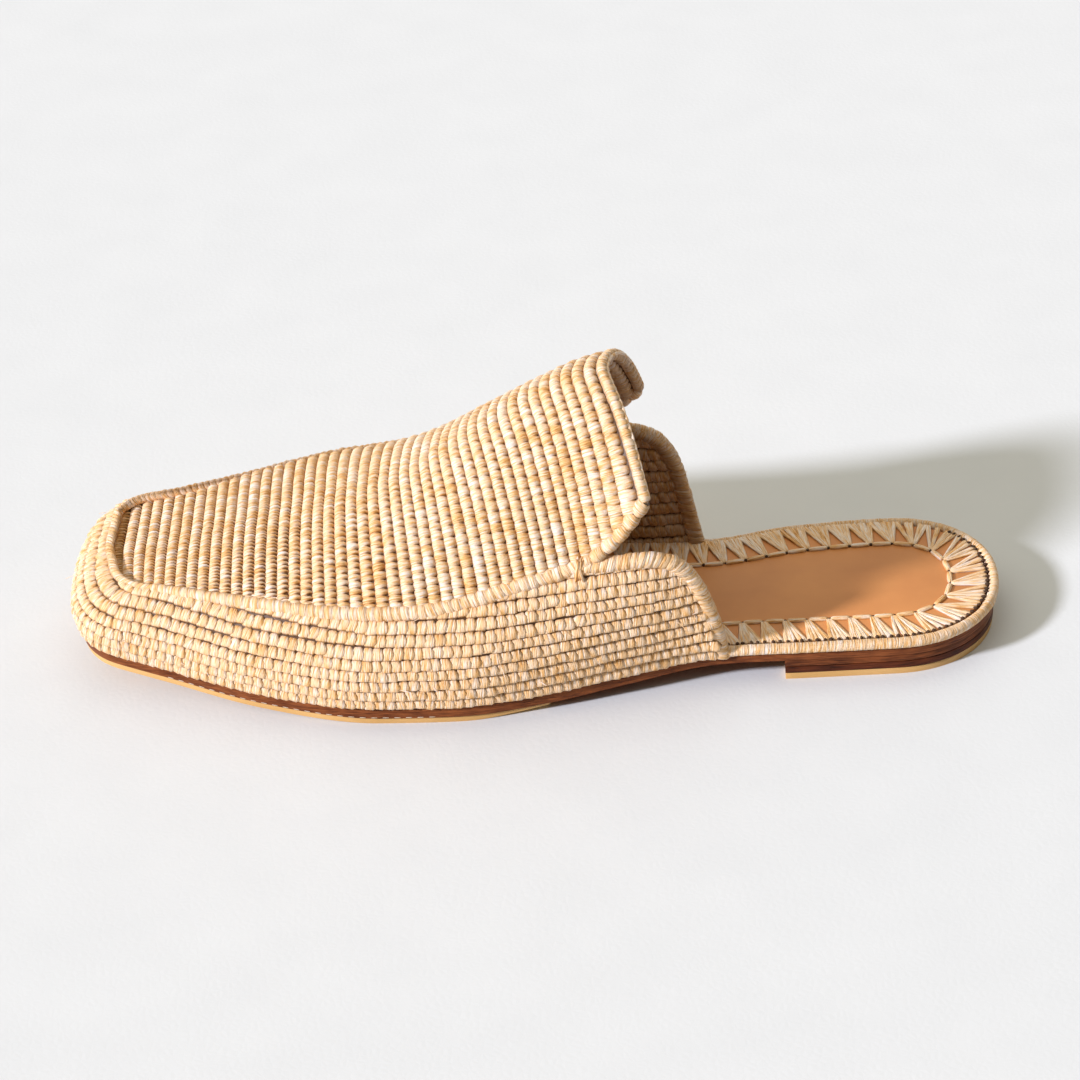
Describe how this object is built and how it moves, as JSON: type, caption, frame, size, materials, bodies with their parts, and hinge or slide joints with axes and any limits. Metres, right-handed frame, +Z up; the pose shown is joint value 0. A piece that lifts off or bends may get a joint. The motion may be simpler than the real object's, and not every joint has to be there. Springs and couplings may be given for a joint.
{
  "type": "mule shoe",
  "caption": "Backless loafer-style mule: crocheted raffia upper with a ribbed apron and raised tongue, on a flat leather sole with a rubber forefoot and low stacked heel.",
  "frame": {"origin": "middle of the bounding box in plan, on the ground under the sole", "axes": "+X from toe to heel, +Y towards the medial (inner) side of the foot, +Z up"},
  "size_m": [0.2884, 0.1042, 0.0952],
  "materials": {
    "raffia": "dry straw, slight sheen",
    "insole_leather": "smooth tan",
    "sole_leather": "stained and waxed edge",
    "honey_rubber": "matt honey rubber"
  },
  "bodies": {
    "root": {"upper": "raffia", "heel_rim_cord": "raffia", "insole": "insole_leather", "leather_sole": "sole_leather", "heel_lift_1": "sole_leather", "heel_lift_2": "sole_leather", "forefoot_outsole": "honey_rubber", "heel_top_lift": "honey_rubber"}
  },
  "joints": []
}
